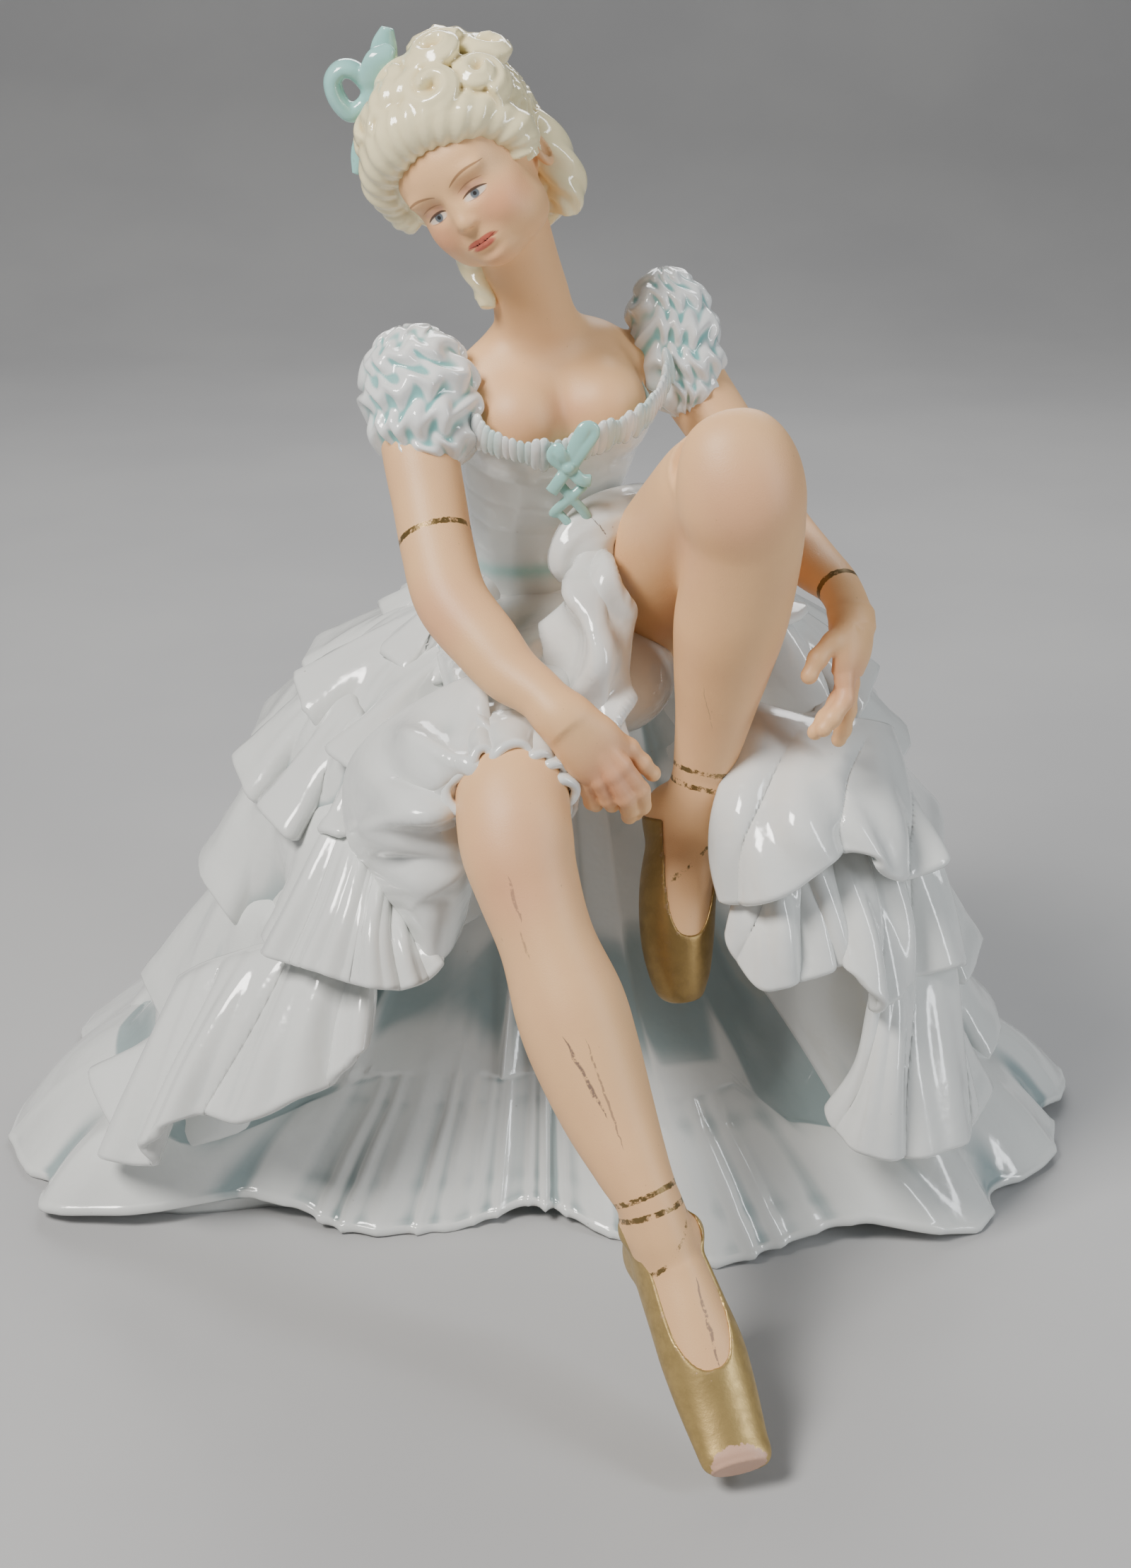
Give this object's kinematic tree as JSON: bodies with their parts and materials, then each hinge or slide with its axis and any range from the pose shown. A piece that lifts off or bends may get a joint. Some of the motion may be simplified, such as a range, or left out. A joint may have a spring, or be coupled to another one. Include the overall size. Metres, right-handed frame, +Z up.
{
  "type": "ballerina figurine",
  "caption": "Porcelain figurine of a seated dancer in a flounced dress who ties her raised slipper; stands on the flat underside of its skirt",
  "frame": {"origin": "middle of the flat underside that the figurine stands on", "axes": "+Z up, -Y towards the front where the near foot points, +X towards her raised knee and left hand"},
  "size_m": [0.2813, 0.2489, 0.2856],
  "materials": {
    "glazed_porcelain": "white glaze, high gloss",
    "bisque_skin": "matte peach bisque",
    "hair_glaze": "cream glaze, glossy",
    "turquoise_glaze": "turquoise glaze, glossy",
    "gold_paint": "worn satin gold"
  },
  "bodies": {
    "root": {"ballerina_figurine": "glazed_porcelain"}
  },
  "joints": []
}
